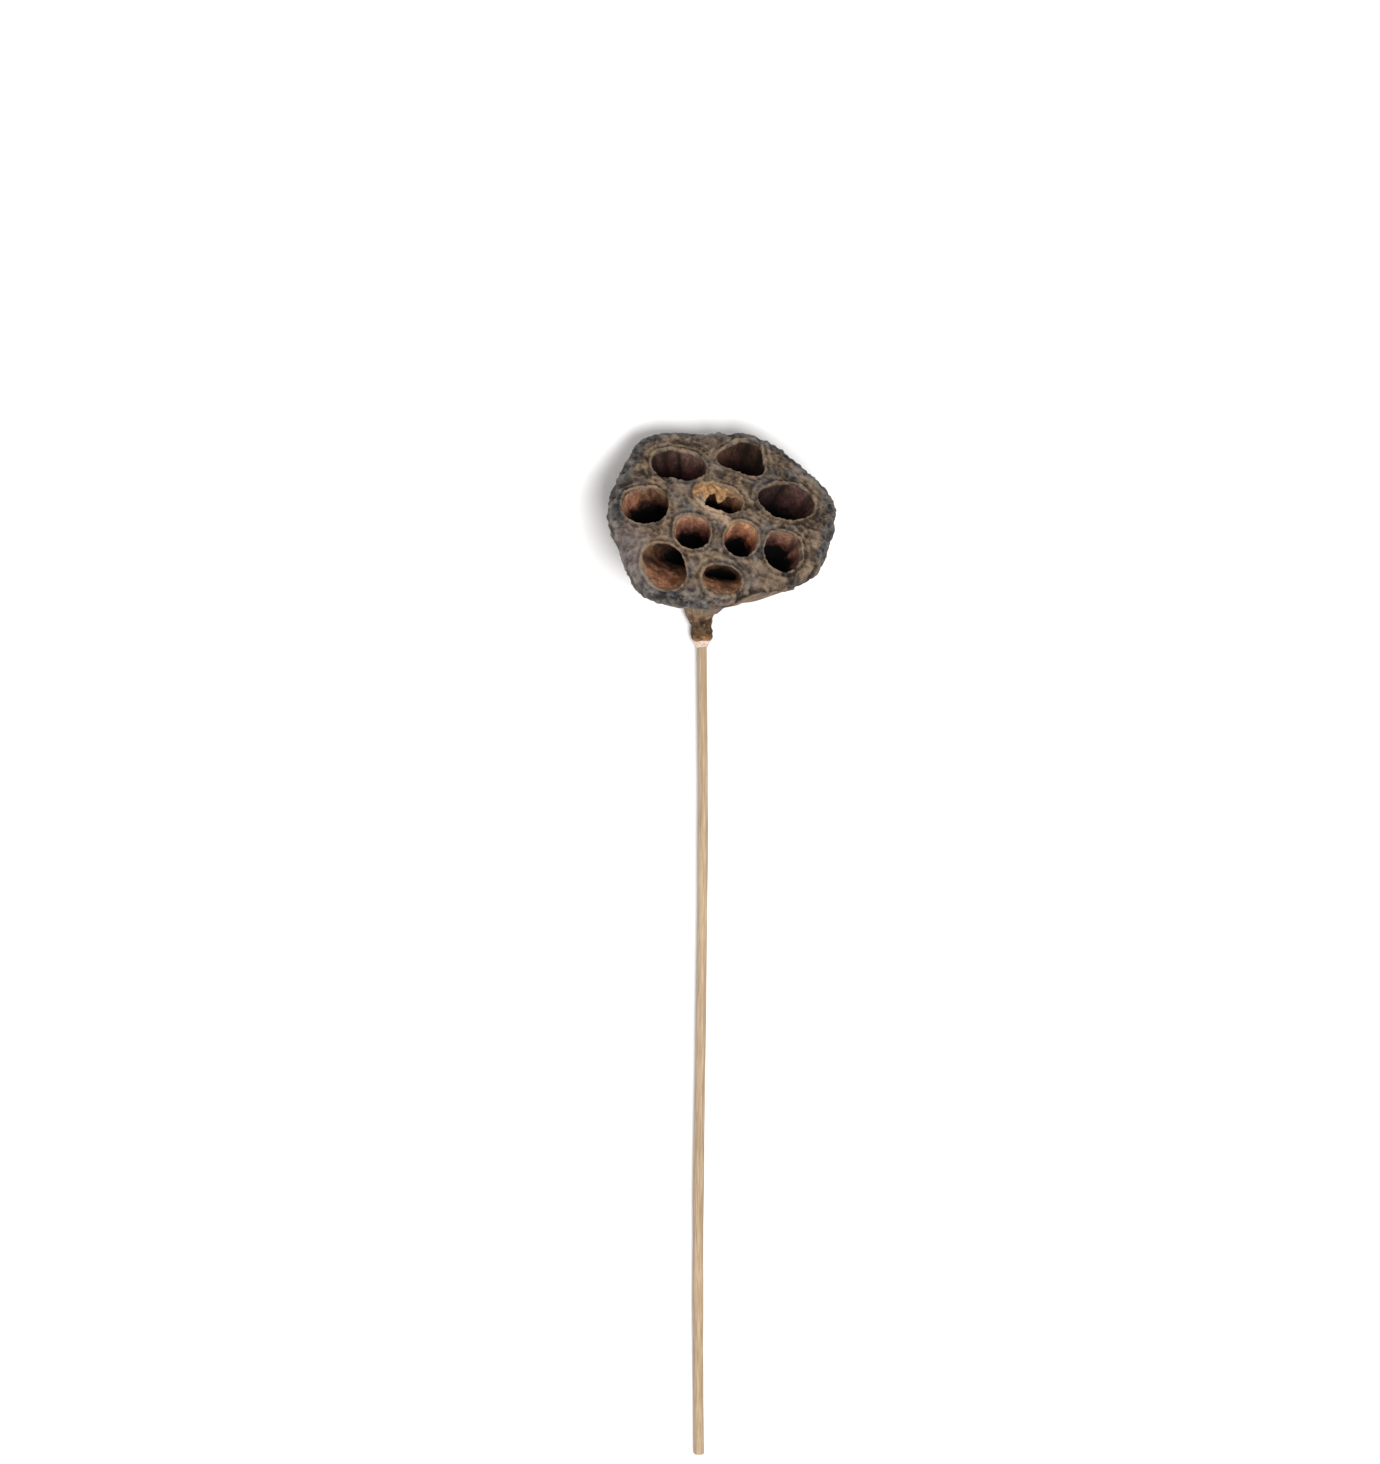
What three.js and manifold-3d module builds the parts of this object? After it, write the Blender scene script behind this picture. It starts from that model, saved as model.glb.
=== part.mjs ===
// A dried lotus pod glued onto a reed stem, lying on its side with its seed face turned up.
//
// Millimetres, +Z up. The stem runs along +Y, away from the pod. The pod rests on the lower bulge
// of its side, the stem on its far end, and the stem hovers a few millimetres in between.
// The pod has a frame of its own: "across" and "up" lie in the plane of the face, and "out" is
// the pod's axis, from the neck (0) to the face (POD_HEIGHT).

import * as THREE from "three";
import { mergeVertices } from "three/addons/utils/BufferGeometryUtils.js";
import Module from "manifold-3d";

const DEG = Math.PI / 180;
const GAP = 0.3; // clearance between two pieces that touch

// The pod's body
const POD_HEIGHT = 60; // neck to the rim of the face
const RIM_RADIUS = 41.5; // face radius where the rim has no bulge
const RIM_ROUND = 5.5; // how deep the rim rolls over
const FACE_DOME = 3.5; // the middle of the face stands this far over the rim
const SIDE_CURVE = 2.3; // the higher, the longer the side stays wide below the face
const SIDE_FULLNESS = 0.8; // the lower, the blunter the end at the neck
const FLAT_SIDE_CURVE = 1.08; // the same two where the side is flattest
const FLAT_SIDE_FULLNESS = 1;
const FLAT_SIDE_AT = -65 * DEG; // angle round the face where the side is flattest
const FLAT_SIDE_REACH = 1.3; // the higher, the narrower the flat side
const LOBE_FADE = 1.6; // the rim's bulges fade towards the neck with this power
const SIDE_RIBS = 17; // shallow lengthwise folds of the dried side
const RIB_DEPTH = 0.5;
const SIDE_HEIGHT = POD_HEIGHT - RIM_ROUND;

// Where the rim bulges outwards or dips: angle round the face and half width in degrees
const RIM_LOBES = [
  { at: 141, height: 8.5, spread: 22 },
  { at: 84, height: 5, spread: 20 },
  { at: 60, height: 2, spread: 14 },
  { at: 27, height: 7, spread: 24 },
  { at: -14, height: 2, spread: 16 },
  { at: -54, height: -5.5, spread: 18 },
  { at: -84, height: 1, spread: 14 },
  { at: -119, height: 9, spread: 20 },
  { at: -172, height: 5, spread: 24 },
];

// The seed cells: blind pits that lean in towards the neck
const CELL_DEPTH = 20;
const CELL_MEETING_DEPTH = 85; // the cells' axes meet this far below the face
const CELL_BOTTOM_CURVE = 3; // the higher, the straighter a cell's wall
const CELL_MOUTH_SQUARENESS = 2.2; // 2 is an ellipse
const CELL_OVERCUT = 8; // the cutter reaches this far over the face

// at: the mouth's middle on the face (across, up); size: the mouth's width and height;
// turn: how far the mouth is turned, in degrees; corner: how triangular it is, with one corner
// at cornerAt degrees
const CELLS = [
  { at: [-22.3, 18.7], size: [22.3, 16.2], turn: -4 },
  { at: [2.3, 30.5], size: [18.5, 20], turn: 0, corner: 0.14, cornerAt: 80 },
  { at: [-3.5, 5.8], size: [20, 12.5], turn: -8 },
  { at: [23.8, 14], size: [23.5, 18.5], turn: 22 },
  { at: [-31.3, -5.2], size: [19, 17.5], turn: 10 },
  { at: [-10.4, -13.5], size: [14.3, 16.7], turn: 12 },
  { at: [9.4, -11], size: [13, 16.8], turn: 0 },
  { at: [27, -10.8], size: [15.2, 18.7], turn: 8 },
  { at: [-18, -32.4], size: [17.5, 22.5], turn: 24 },
  { at: [5.8, -32.5], size: [15.8, 14.8], turn: 0 },
];

// How the pod lies
const POD_NOD = 43.7 * DEG; // its axis leans this far from upright, away from the stem
const POD_HEADING = -3.8 * DEG; // that lean is turned this far from the stem's line
const POD_SPIN = -24.6 * DEG; // and the pod is turned this far about its own axis
const REST_FLAT = 0.7; // the pod's lower bulge is pressed flat by this much, where it rests

// The neck: a bent stub with a knobbly ring at its end
const NECK_RADII = [9.5, 8.6, 7, 5.3, 4.2, 4.1]; // evenly spaced, from inside the pod to the ring
const RING_RADIUS = 4.5;
const RING_LENGTH = 5;
const RING_KNOBS = 9;
const RING_GROOVE = 0.3; // how far the ring's two edges are pulled in under the neck's end
const KNOB_HEIGHT = 0.3;
// The middle of the neck, from inside the pod to the ring's end, measured from the pod's base
const NECK_ROUTE = [
  [0.4, -5.9, 6.2],
  [0.3, -0.6, 1.65],
  [0.6, 4, 0.5],
  [-0.2, 10, 0],
  [-0.4, 15, -0.2],
];

// The stem: a straight reed with its top end in a socket in the neck
const STEM_LENGTH = 358;
const STEM_TOP_RADIUS = 1.9;
const STEM_END_RADIUS = 2.2;
const SOCKET_DEPTH = 9;
const STEM_DRIFT = 0.6; // sideways, from the top to the end
const STEM_WAVE = 0.7; // sideways bend, to and fro
const STEM_BOW = 0.8; // upward bend

// The glue: a fillet between the ring and the stem
const GLUE_LENGTH = 2.8;
const GLUE_RADIUS = 3.7;
const GLUE_END_RADIUS = 2.5;
const GLUE_BULGE = 1.7; // the higher, the rounder the fillet

// How finely the round bodies are faceted
const POD_SIDES = 84;
const CELL_SIDES = 20;
const NECK_SIDES = 36;
const NECK_STEPS = 18;
const STEM_SIDES = 14;
const STEM_STEPS = 40;
const SOCKET_SIDES = 20;
const SOCKET_STEPS = 2;
const GLUE_SIDES = 28;

const wasm = await Module();
wasm.setup();

// Booleans

function toSolid(geometry) {
  const bare = geometry.clone();
  bare.deleteAttribute("normal");
  bare.deleteAttribute("uv");
  const merged = mergeVertices(bare, 1e-4);
  return new wasm.Manifold(
    new wasm.Mesh({
      numProp: 3,
      vertProperties: new Float32Array(merged.attributes.position.array),
      triVerts: new Uint32Array(merged.index.array),
    }),
  );
}

function toGeometry(solid) {
  const mesh = solid.getMesh();
  const geometry = new THREE.BufferGeometry();
  geometry.setAttribute("position", new THREE.BufferAttribute(mesh.vertProperties, 3));
  geometry.setIndex(new THREE.BufferAttribute(mesh.triVerts, 1));
  geometry.computeVertexNormals();
  return geometry;
}

// Moves each vertex of a geometry to where place(vertex) puts it.
function reshape(geometry, place) {
  const positions = geometry.attributes.position;
  const vertex = new THREE.Vector3();
  for (let i = 0; i < positions.count; i += 1) {
    vertex.fromBufferAttribute(positions, i);
    place(vertex);
    positions.setXYZ(i, vertex.x, vertex.y, vertex.z);
  }
  return geometry;
}

// A lathe turned so that its axis is +Z, which is "out" in the pod's frame.
function lathe(profile, sides) {
  return new THREE.LatheGeometry(profile, sides).rotateX(Math.PI / 2);
}

// The pod's body

function nearestTurn(angle) {
  return Math.atan2(Math.sin(angle), Math.cos(angle));
}

// The rim's radius at an angle round the face.
function rimRadius(angle) {
  let radius = RIM_RADIUS;
  for (const lobe of RIM_LOBES) {
    const away = nearestTurn(angle - lobe.at * DEG) / (lobe.spread * DEG);
    radius += lobe.height * Math.exp(-away * away);
  }
  return radius;
}

// Height of the face over the rim at a share of the rim's radius.
function faceRise(share) {
  return FACE_DOME * (1 - share * share);
}

// The body's profile with a rim radius of 1: side, rolled rim, then the face to its middle.
function podProfile() {
  const sideRows = 13;
  const rimRows = 5;
  const faceRows = 5;
  const crowding = 1.5; // more rows near the neck, where the side curves most
  const rimShare = RIM_ROUND / RIM_RADIUS;
  const profile = [new THREE.Vector2(0, 0)];
  for (let row = 1; row < sideRows; row += 1) {
    const share = (row / sideRows) ** crowding;
    profile.push(new THREE.Vector2(1, share * SIDE_HEIGHT));
  }
  for (let row = 0; row <= rimRows; row += 1) {
    const turn = (row / rimRows) * 90 * DEG;
    const radius = 1 - rimShare * (1 - Math.cos(turn));
    const height = POD_HEIGHT - RIM_ROUND * (1 - Math.sin(turn));
    profile.push(new THREE.Vector2(radius, height));
  }
  const edge = 1 - rimShare;
  for (let row = faceRows - 1; row >= 0; row -= 1) {
    const share = row / faceRows;
    profile.push(new THREE.Vector2(edge * share, POD_HEIGHT + faceRise(share)));
  }
  return profile;
}

// The side's radius as a share of the rim's, at a height over the base: one side is flatter.
function sideShare(height, angle) {
  const flat = ((1 + Math.cos(angle - FLAT_SIDE_AT)) / 2) ** FLAT_SIDE_REACH;
  const curve = THREE.MathUtils.lerp(SIDE_CURVE, FLAT_SIDE_CURVE, flat);
  const fullness = THREE.MathUtils.lerp(SIDE_FULLNESS, FLAT_SIDE_FULLNESS, flat);
  const depth = Math.max(0, 1 - height / SIDE_HEIGHT);
  return Math.max(0, 1 - depth ** curve) ** fullness;
}

function podBody() {
  return reshape(lathe(podProfile(), POD_SIDES), (vertex) => {
    const angle = Math.atan2(vertex.y, vertex.x);
    const side = sideShare(vertex.z, angle);
    vertex.x *= side;
    vertex.y *= side;
    const fade = Math.min(1, Math.max(0, vertex.z / POD_HEIGHT)) ** LOBE_FADE;
    const rim = THREE.MathUtils.lerp(RIM_RADIUS, rimRadius(angle), fade);
    const share = Math.hypot(vertex.x, vertex.y);
    const rib = RIB_DEPTH * share * (1 - fade) * Math.cos(SIDE_RIBS * angle);
    vertex.x *= rim + rib;
    vertex.y *= rim + rib;
  });
}

// The seed cells

// The mouth's radius at an angle round its middle.
function mouthRadius(cell, angle) {
  const turned = angle - cell.turn * DEG;
  const wide = Math.abs(Math.cos(turned) / (cell.size[0] / 2)) ** CELL_MOUTH_SQUARENESS;
  const high = Math.abs(Math.sin(turned) / (cell.size[1] / 2)) ** CELL_MOUTH_SQUARENESS;
  const corner = 1 + (cell.corner ?? 0) * Math.cos(3 * (angle - (cell.cornerAt ?? 0) * DEG));
  return corner / (wide + high) ** (1 / CELL_MOUTH_SQUARENESS);
}

function cellCutter(cell) {
  const rows = 6;
  const crowding = 1.6; // more rows near the bottom
  const profile = [new THREE.Vector2(0, -CELL_DEPTH)];
  for (let row = 1; row <= rows; row += 1) {
    const depth = 1 - (row / rows) ** crowding;
    const radius = Math.sqrt(1 - depth ** CELL_BOTTOM_CURVE);
    profile.push(new THREE.Vector2(radius, -CELL_DEPTH * depth));
  }
  profile.push(new THREE.Vector2(1, CELL_OVERCUT), new THREE.Vector2(0, CELL_OVERCUT));
  const share = Math.hypot(...cell.at) / RIM_RADIUS;
  const mouthHeight = POD_HEIGHT + faceRise(share);
  return reshape(lathe(profile, CELL_SIDES), (vertex) => {
    const radius = mouthRadius(cell, Math.atan2(vertex.y, vertex.x));
    const lean = 1 + vertex.z / CELL_MEETING_DEPTH;
    vertex.x = cell.at[0] * lean + vertex.x * radius;
    vertex.y = cell.at[1] * lean + vertex.y * radius;
    vertex.z += mouthHeight;
  });
}

// The pod's frame, placed at the pod's base

const podTurn = new THREE.Matrix4()
  .makeRotationZ(-POD_HEADING)
  .multiply(new THREE.Matrix4().makeRotationX(POD_NOD))
  .multiply(new THREE.Matrix4().makeRotationZ(Math.PI + POD_SPIN));

// Bodies that follow a curve

// Bends a body whose axis is +Z along a curve; what passes the curve's ends goes straight on.
function bend(geometry, curve) {
  const length = curve.getLength();
  const up = new THREE.Vector3(0, 0, 1);
  return reshape(geometry, (vertex) => {
    const along = THREE.MathUtils.clamp(vertex.z, 0, length);
    const tangent = curve.getTangentAt(along / length);
    const side = new THREE.Vector3().crossVectors(tangent, up).normalize();
    const rise = new THREE.Vector3().crossVectors(side, tangent);
    const middle = curve.getPointAt(along / length);
    const { x, y, z } = vertex;
    vertex.copy(middle).addScaledVector(side, x).addScaledVector(rise, -y);
    vertex.addScaledVector(tangent, z - along);
  });
}

// A solid round rod along +Z: radiusAt takes the distance from its start.
function rod(start, end, radiusAt, sides, steps) {
  const profile = [new THREE.Vector2(0, start)];
  for (let step = 0; step <= steps; step += 1) {
    const along = THREE.MathUtils.lerp(start, end, step / steps);
    profile.push(new THREE.Vector2(radiusAt(along), along));
  }
  profile.push(new THREE.Vector2(0, end));
  return lathe(profile, sides);
}

function neckRadius(along, length) {
  const ringStart = length - RING_LENGTH;
  if (along > ringStart) {
    const share = (along - ringStart) / RING_LENGTH;
    const swell = Math.sqrt(Math.max(0, 1 - (2 * share - 1) ** 4));
    return THREE.MathUtils.lerp(NECK_RADII.at(-1) - RING_GROOVE, RING_RADIUS, swell);
  }
  const place = (along / ringStart) * (NECK_RADII.length - 1);
  const before = Math.min(Math.floor(place), NECK_RADII.length - 2);
  return THREE.MathUtils.lerp(NECK_RADII[before], NECK_RADII[before + 1], place - before);
}

function neck() {
  const curve = new THREE.CatmullRomCurve3(NECK_ROUTE.map((point) => new THREE.Vector3(...point)));
  const length = curve.getLength();
  const straight = rod(0, length, (along) => neckRadius(along, length), NECK_SIDES, NECK_STEPS);
  const knobbed = reshape(straight, (vertex) => {
    if (vertex.z < length - RING_LENGTH) return;
    const angle = Math.atan2(vertex.y, vertex.x);
    const knob = 1 + (KNOB_HEIGHT / RING_RADIUS) * Math.cos(RING_KNOBS * angle);
    vertex.x *= knob;
    vertex.y *= knob;
  });
  return bend(knobbed, curve);
}

// The stem and its glue

// The stem's middle line, from its top end in the socket to its cut end on the floor.
function stemCurve(floor) {
  const ringEnd = new THREE.Vector3(...NECK_ROUTE.at(-1));
  const points = [];
  const steps = 9;
  for (let step = 0; step <= steps; step += 1) {
    const share = step / steps;
    const wave = STEM_WAVE * Math.sin(2 * Math.PI * share);
    const bow = STEM_BOW * Math.sin(Math.PI * share);
    const x = ringEnd.x + STEM_DRIFT * share - wave;
    const y = ringEnd.y - SOCKET_DEPTH + STEM_LENGTH * share;
    const z = THREE.MathUtils.lerp(ringEnd.z, floor + STEM_END_RADIUS, share) + bow;
    points.push(new THREE.Vector3(x, y, z));
  }
  return new THREE.CatmullRomCurve3(points);
}

function stemRadius(along) {
  return THREE.MathUtils.lerp(STEM_TOP_RADIUS, STEM_END_RADIUS, along / STEM_LENGTH);
}

function stem(curve) {
  return bend(rod(0, curve.getLength(), stemRadius, STEM_SIDES, STEM_STEPS), curve);
}

function socketCutter(curve) {
  const pastRing = 3;
  const radiusAt = () => STEM_TOP_RADIUS + GAP;
  return bend(rod(-GAP, SOCKET_DEPTH + pastRing, radiusAt, SOCKET_SIDES, SOCKET_STEPS), curve);
}

// The glue is a ring round the stem: a closed outline turned about the stem's middle line.
function glueBead(curve) {
  const bore = stemRadius(SOCKET_DEPTH) + GAP;
  const start = SOCKET_DEPTH + GAP;
  const profile = [new THREE.Vector2(bore, start)];
  const steps = 5;
  for (let step = 0; step <= steps; step += 1) {
    const share = step / steps;
    const radius = THREE.MathUtils.lerp(GLUE_RADIUS, GLUE_END_RADIUS, share ** GLUE_BULGE);
    profile.push(new THREE.Vector2(radius, start + GLUE_LENGTH * share));
  }
  profile.push(new THREE.Vector2(bore, start + GLUE_LENGTH));
  profile.push(new THREE.Vector2(bore, start));
  return bend(lathe(profile, GLUE_SIDES), curve);
}

// The part

function seedPod() {
  const cutters = CELLS.map((cell) => toSolid(cellCutter(cell)));
  const body = cutters.reduce((solid, cutter) => solid.subtract(cutter), toSolid(podBody()));
  const placed = toGeometry(body).applyMatrix4(podTurn);
  return toSolid(placed).add(toSolid(neck()));
}

// Cuts off what lies below a height.
function cutLevel(solid, height) {
  const reach = 2 * (POD_HEIGHT + RIM_RADIUS); // wider than the pod, neck included
  const slab = new THREE.BoxGeometry(reach, reach, reach).translate(0, 0, height - reach / 2);
  return solid.subtract(toSolid(slab));
}

function meshOf(name, geometry, color, roughness) {
  const mesh = new THREE.Mesh(geometry, new THREE.MeshStandardMaterial({ color, roughness }));
  mesh.name = name;
  return mesh;
}

const roundPod = seedPod();
const floor = roundPod.boundingBox().min[2] + REST_FLAT;
const podSolid = cutLevel(roundPod, floor);
const middleLine = stemCurve(floor);
const podGeometry = toGeometry(podSolid.subtract(toSolid(socketCutter(middleLine))));

const lotus = new THREE.Group();
lotus.add(meshOf("seed_pod", podGeometry, 0x6b5f52, 0.9));
lotus.add(meshOf("glue_bead", glueBead(middleLine), 0xe3d3c1, 0.35));
lotus.add(meshOf("stem", stem(middleLine), 0xbf9f78, 0.6));

// The part's own frame: its origin is on the floor, under the middle of its box.
const box = new THREE.Box3().setFromObject(lotus, true);
const middle = box.getCenter(new THREE.Vector3());
lotus.position.set(-middle.x, -middle.y, -box.min.z);

export default lotus;
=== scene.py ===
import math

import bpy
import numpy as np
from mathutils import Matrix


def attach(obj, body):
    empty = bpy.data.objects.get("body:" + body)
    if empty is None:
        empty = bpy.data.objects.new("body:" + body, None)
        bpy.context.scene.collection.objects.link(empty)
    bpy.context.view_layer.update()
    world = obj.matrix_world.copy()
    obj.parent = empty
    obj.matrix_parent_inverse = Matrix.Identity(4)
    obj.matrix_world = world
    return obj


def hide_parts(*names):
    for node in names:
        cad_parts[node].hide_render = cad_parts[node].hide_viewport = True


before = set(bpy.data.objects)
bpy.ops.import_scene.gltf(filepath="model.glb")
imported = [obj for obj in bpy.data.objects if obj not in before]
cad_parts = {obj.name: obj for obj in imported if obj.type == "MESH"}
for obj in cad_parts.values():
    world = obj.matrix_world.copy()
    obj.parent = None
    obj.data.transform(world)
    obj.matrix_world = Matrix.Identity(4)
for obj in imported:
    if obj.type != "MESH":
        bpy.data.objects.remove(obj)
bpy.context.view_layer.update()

# A dried lotus pod on a reed stem, lying on a pale table with its seed face up.
#
# The pod is worked out in millimetres in a frame of its own: "across" and "up" lie in the plane
# of the face, and "out" is the pod's axis, from the neck (0) to the face (POD_HEIGHT). A field
# that is negative inside the pod is filled in on a grid and turned into a mesh, which is then
# roughened. Numbers kept at each vertex tell the material where it is on the pod.

import openvdb
from mathutils import Matrix, Vector

MM = 0.001
GRID_STEP = 0.65  # mm
BAND = 3.0  # mm, how far from the surface the field is kept

# The pod's body, in mm
POD_HEIGHT = 60
RIM_RADIUS = 41.5
RIM_ROUND = 5.5
FACE_DOME = 3.5
SIDE_CURVE, FLAT_SIDE_CURVE = 2.3, 1.08
SIDE_FULLNESS, FLAT_SIDE_FULLNESS = 0.8, 1.0
FLAT_SIDE_AT = math.radians(-65)
FLAT_SIDE_REACH = 1.3
LOBE_FADE = 1.6
SIDE_HEIGHT = POD_HEIGHT - RIM_ROUND
CRUST_EDGE = 51.5  # the face's crust hangs over the side down to here
CRUST_THICKNESS = 0.7

# Where the rim bulges outwards or dips: angle round the face in degrees, height, half width
RIM_LOBES = [
    (141, 8.5, 22), (84, 5, 20), (60, 2, 14), (27, 7, 24), (-14, 2, 16),
    (-54, -5.5, 18), (-84, 1, 14), (-119, 9, 20), (-172, 5, 24),
]

# The seed cells. at: the mouth's middle on the face; size: the mouth's width and height; turn:
# degrees; corner: how triangular the mouth is, and where its corner points; lean: how far the
# bottom is pushed across and up; creases: angle and height of each fold down the wall, with a
# painted shadow beside it; shelf: angle, reach and depth of a shallow ledge inside the mouth;
# warm: from mauve (0) to orange brown (1); light: how pale the wall is painted, its own tone
# together with painted light for how well the cell is lit; pale_side: the angle of the wall's lit
# side, where painted light makes it palest; dark: the share of the depth where painted shade
# turns the wall dark.
CELLS = [
    dict(at=(-22.3, 18.7), size=(22.3, 16.2), turn=-4, creases=[(92, 1.9), (128, -0.9)],
         warm=0.15, light=0.72, pale_side=5, dark=0.8),
    dict(at=(2.3, 30.5), size=(18.5, 20), turn=0, corner=(0.14, 80), creases=[(75, 0.8)],
         warm=0.6, light=0.24, pale_side=165, dark=0.7),
    dict(at=(-3.5, 5.8), size=(20, 12.5), turn=-8, warm=0.9, light=0.7, pale_side=0, dark=0.5),
    dict(at=(23.8, 14), size=(23.5, 18.5), turn=22, creases=[(95, -1.3)],
         warm=0.05, light=0.46, pale_side=10, dark=0.7),
    dict(at=(-31.3, -5.2), size=(19, 17.5), turn=10, creases=[(84, -1.8), (30, 0.7)],
         warm=0.75, light=1.08, pale_side=150, dark=0.5),
    dict(at=(-10.4, -13.5), size=(14.3, 16.7), turn=12,
         warm=0.6, light=1.7, pale_side=100, dark=0.56),
    dict(at=(9.4, -11), size=(13, 16.8), turn=0,
         warm=0.85, light=1.8, pale_side=110, dark=0.58),
    dict(at=(27, -10.8), size=(15.2, 18.7), turn=8, creases=[(40, 0.8)],
         warm=0.45, light=0.86, pale_side=60, dark=0.5),
    dict(at=(-18, -32.4), size=(17.5, 22.5), turn=24, lean=(3, 5), creases=[(150, 1.2), (100, -1)],
         shelf=(-95, 16.8, 5.5), warm=1.0, light=0.95, pale_side=-90, dark=0.6),
    dict(at=(5.8, -32.5), size=(15.8, 14.8), turn=0, lean=(0, 5),
         shelf=(-85, 10.3, 4.2), warm=1.0, light=1.0, pale_side=-90, dark=0.5),
]
CELL_DEPTH = 20
CELL_MEETING_DEPTH = 85
CELL_BOTTOM_CURVE = 3
CELL_MOUTH_SQUARENESS = 2.2
CREASE_WIDTH = math.radians(11)
# How much painted light brightens the lit side of each cell's wall
PAINTED_LIT_SIDE_SWING = 0.6
LIP_HEIGHT, LIP_WIDTH = 0.9, 0.75
TORN_CELL = 2  # this cell is half closed by a torn skin
SKIN_THICKNESS = 1
TAN_RIM_AT, PALE_RIM_AT = -45, -140  # angle round the face where the rim is tan, and pale mauve
TAN_FOLD = ((-10.5, 1.6), (3.0, -5.4))  # the ends of a raised tan fold between the cells
TAN_FOLD_WIDTH, TAN_FOLD_HEIGHT = 2.6, 0.5
COLLAR_HEIGHT, COLLAR_SPACING, COLLAR_REACH = 0.5, 2.7, 3.5  # the folds round each cell's mouth

# How the pod lies: its base in the part's frame, in mm, and its turns
POD_BASE = Vector((-1.38, -146.32, 5.56))
POD_NOD = math.radians(43.7)
POD_HEADING = math.radians(-3.8)
POD_SPIN = math.radians(-24.6)
POD_TURN = (
    Matrix.Rotation(-POD_HEADING, 3, "Z")
    @ Matrix.Rotation(POD_NOD, 3, "X")
    @ Matrix.Rotation(math.pi + POD_SPIN, 3, "Z")
)

# The neck, in mm: its middle line measured from the pod's base, and its radii along it
NECK_ROUTE = [(0.4, -5.9, 6.2), (0.3, -0.6, 1.65), (0.6, 4, 0.5), (-0.2, 10, 0), (-0.4, 15, -0.2)]
NECK_RADII = [9.5, 9.6, 9, 6.6, 4.6, 4.1]
RING_RADIUS, RING_LENGTH = 4.5, 5
NECK_BLEND = 5

# The stem and the glue, in mm
STEM_LENGTH = 358
STEM_TOP_RADIUS, STEM_END_RADIUS = 1.9, 2.2
SOCKET_DEPTH = 9
SOCKET_GAP = 0.25
STEM_DRIFT, STEM_WAVE, STEM_BOW = 0.6, 0.7, 0.8
GLUE_LENGTH = 2.8
GLUE_RADIUS, GLUE_END_RADIUS = 3.8, 2.3

# The view: the camera faces the seed face from below its axis, with the picture a little turned
VIEW_LEAN = math.radians(38)
VIEW_ROLL = math.radians(14)
CAMERA_DISTANCE = 1800  # mm
LENS = 111.1  # for a sensor 36 mm high
FACE_MIDDLE = Vector((0, -3.8, POD_HEIGHT + 2.1))
VIEW_OFFSET = (-12.7, -84.5)  # mm from the face's middle to the picture's middle, right and up

# Sums that are used throughout

def smooth_step(value, low, high):
    share = np.clip((value - low) / (high - low), 0, 1)
    return share * share * (3 - 2 * share)


def bell(value, width):
    return np.exp(-((value / width) ** 2))


def lerp(a, b, share):
    return a + (b - a) * share


def turn_from(angle, degrees):
    """How far an angle is turned from a direction in degrees, from -pi to pi."""
    away = angle - math.radians(degrees)
    return np.arctan2(np.sin(away), np.cos(away))


def soft_max(a, b, blend):
    """The larger of two fields, rounded over where they are within blend of each other."""
    close = np.maximum(blend - np.abs(a - b), 0) / blend
    return np.maximum(a, b) + close**2 * blend / 4


def soft_min(a, b, blend):
    return -soft_max(-a, -b, blend)


def smooth_noise(points, size, seed):
    """Smooth noise from -1 to 1 at an (n, 3) list of points, with bumps about size apart."""
    random = np.random.default_rng(seed)
    values = random.uniform(-1, 1, 256)
    shuffle = random.permutation(256)
    cell = np.asarray(points) / size
    corner = np.floor(cell).astype(int)
    share = cell - corner
    share = share * share * (3 - 2 * share)
    total = np.zeros(len(cell))
    for dx in (0, 1):
        for dy in (0, 1):
            for dz in (0, 1):
                mixed = shuffle[(corner[:, 0] + dx) & 255]
                mixed = shuffle[(mixed + corner[:, 1] + dy) & 255]
                mixed = shuffle[(mixed + corner[:, 2] + dz) & 255]
                weight = np.where(dx, share[:, 0], 1 - share[:, 0])
                weight = weight * np.where(dy, share[:, 1], 1 - share[:, 1])
                weight = weight * np.where(dz, share[:, 2], 1 - share[:, 2])
                total += weight * values[mixed]
    return total


def ridge_noise(points, size, seed):
    """Noise with sharp crests at 1 and round valleys down to 0."""
    return 1 - np.abs(smooth_noise(points, size, seed)) * 1.6


def round_noise(angle, turns, along, size, seed):
    """Noise that closes on itself round an axis: turns bumps round it, size apart along it."""
    angle = np.asarray(angle, float)
    points = np.stack(
        [
            np.cos(angle).ravel() * turns / (2 * math.pi),
            np.sin(angle).ravel() * turns / (2 * math.pi),
            np.broadcast_to(along, angle.shape).ravel() / size,
        ],
        axis=1,
    )
    return smooth_noise(points, 1, seed).reshape(angle.shape)


# The pod's field, in the pod's frame

def rim_radius(angle):
    radius = np.full_like(angle, RIM_RADIUS)
    for at, height, spread in RIM_LOBES:
        radius = radius + height * bell(turn_from(angle, at), math.radians(spread))
    return radius


def side_radius(angle, out):
    """The side's radius at a height over the base."""
    flat = ((1 + np.cos(angle - FLAT_SIDE_AT)) / 2) ** FLAT_SIDE_REACH
    curve = lerp(SIDE_CURVE, FLAT_SIDE_CURVE, flat)
    fullness = lerp(SIDE_FULLNESS, FLAT_SIDE_FULLNESS, flat)
    depth = np.clip(1 - out / SIDE_HEIGHT, 0, 1)
    share = np.clip(1 - depth**curve, 0, 1) ** fullness
    fade = np.clip(out / POD_HEIGHT, 0, 1) ** LOBE_FADE
    return share * lerp(RIM_RADIUS, rim_radius(angle), fade)


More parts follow.
